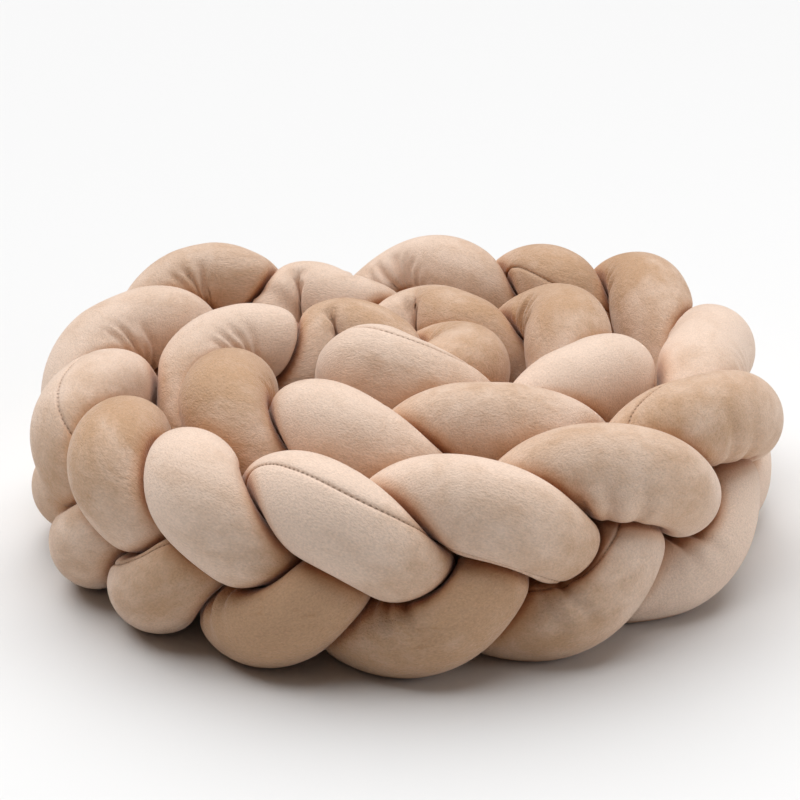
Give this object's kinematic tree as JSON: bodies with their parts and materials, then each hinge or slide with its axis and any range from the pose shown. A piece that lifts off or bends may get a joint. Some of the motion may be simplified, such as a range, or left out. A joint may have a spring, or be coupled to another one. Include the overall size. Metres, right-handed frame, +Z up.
{
  "type": "braided crib bumper",
  "caption": "Braided crib bumper: stuffed velour tubes plaited into a flat braid that stands on its edge, rolled up in an open spiral.",
  "frame": {"origin": "on the floor, under the middle of the roll's bounding box", "axes": "+Z up, +Y towards the back of the roll, where the braid's outer end is, +X to the right"},
  "size_m": [0.6459, 0.6976, 0.193],
  "materials": {
    "velour": "soft short pile, light tan"
  },
  "bodies": {
    "root": {"strand_first": "velour", "strand_second": "velour", "strand_third": "velour"}
  },
  "joints": []
}
